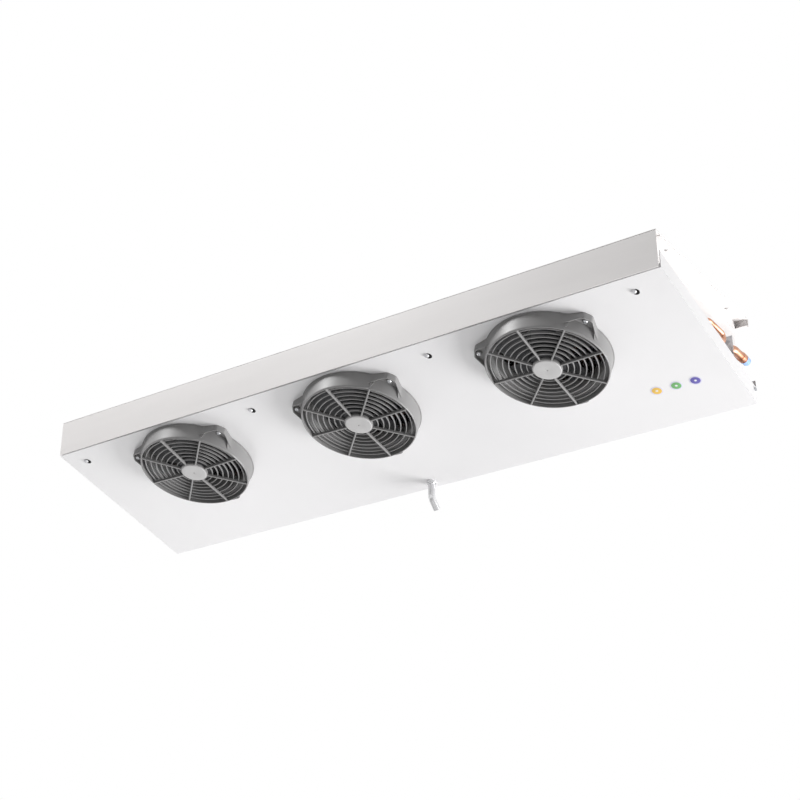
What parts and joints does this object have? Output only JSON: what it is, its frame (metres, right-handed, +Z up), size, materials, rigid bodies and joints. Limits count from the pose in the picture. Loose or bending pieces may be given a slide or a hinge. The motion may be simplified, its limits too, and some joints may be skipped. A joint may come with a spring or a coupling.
{
  "type": "walk-in unit cooler",
  "caption": "Low wedge-shaped ceiling unit cooler for a cold room: a fan tray that swings down, axial fans in moulded guards, and a finned coil behind an open front.",
  "frame": {"origin": "middle of the four hanger holes, in the casing's top face", "axes": "+X along the casing towards the end with the refrigerant pipes, +Y towards the air outlet, +Z up"},
  "size_m": [1.407, 0.3921, 0.2307],
  "materials": {
    "casing_sheet": "white satin sheet",
    "tray_sheet": "white, softly glossy",
    "zinc_steel": "zinc-plated",
    "fin_aluminium": "bright sheet",
    "copper": "copper tube, dull",
    "brass": "turned",
    "suction_cap_plastic": "light blue",
    "liquid_cap_plastic": "light blue",
    "guard_grey": "mid grey moulding",
    "motor_black": "black",
    "impeller_black": "black",
    "steel": "bright",
    "drain_metal": "bright",
    "box_plastic": "dark grey"
  },
  "bodies": {
    "casing": {"back_panel": "casing_sheet", "cable_gland": "box_plastic", "clip_nuts": "zinc_steel", "coil_baffle": "zinc_steel", "coil_tubes": "copper", "distributor": "brass", "end_plate_left": "casing_sheet", "end_plate_right": "casing_sheet", "fan_divider_1": "zinc_steel", "fan_divider_2": "zinc_steel", "feeder_tube_lower": "copper", "feeder_tube_upper": "copper", "fin_pack": "fin_aluminium", "hanger_angle_left": "casing_sheet", "hanger_angle_right": "casing_sheet", "hinge_arm_left": "zinc_steel", "hinge_arm_right": "zinc_steel", "hinge_pins": "zinc_steel", "liquid_cap": "liquid_cap_plastic", "liquid_line": "copper", "pipe_bracket": "zinc_steel", "suction_cap": "suction_cap_plastic", "suction_header": "copper", "suction_pipe": "copper", "terminal_box": "box_plastic", "terminal_box_lid": "box_plastic", "top_panel": "casing_sheet", "tray_bracket_left": "zinc_steel", "tray_bracket_right": "zinc_steel", "tube_sheet_left": "zinc_steel", "tube_sheet_right": "zinc_steel"},
    "tray": {"tray_panel": "tray_sheet", "tray_screws": "steel", "drain_spout": "drain_metal", "drain_nut": "drain_metal", "fan_guards": "guard_grey", "guard_screws": "steel", "hub_discs": "guard_grey", "fan_motors": "motor_black", "motor_nuts": "steel"},
    "rotor_1": {"motor_shaft_1": "steel", "impeller_1": "impeller_black"},
    "rotor_2": {"motor_shaft_2": "steel", "impeller_2": "impeller_black"},
    "rotor_3": {"motor_shaft_3": "steel", "impeller_3": "impeller_black"}
  },
  "joints": [
    {"name": "tray_hinge", "type": "hinge", "parent": "casing", "child": "tray", "pos_m": [0, 0.1842, -0.15054], "axis": [1, 0, 0], "range_deg": [0, 75]},
    {"name": "fan_1_spin", "type": "hinge", "parent": "tray", "child": "rotor_1", "pos_m": [-0.4174, -0.07149, -0.10661], "axis": [0, 0.2588, 0.9659], "continuous": true},
    {"name": "fan_2_spin", "type": "hinge", "parent": "tray", "child": "rotor_2", "pos_m": [0, -0.07149, -0.10661], "axis": [0, 0.2588, 0.9659], "continuous": true},
    {"name": "fan_3_spin", "type": "hinge", "parent": "tray", "child": "rotor_3", "pos_m": [0.4174, -0.07149, -0.10661], "axis": [0, 0.2588, 0.9659], "continuous": true}
  ]
}
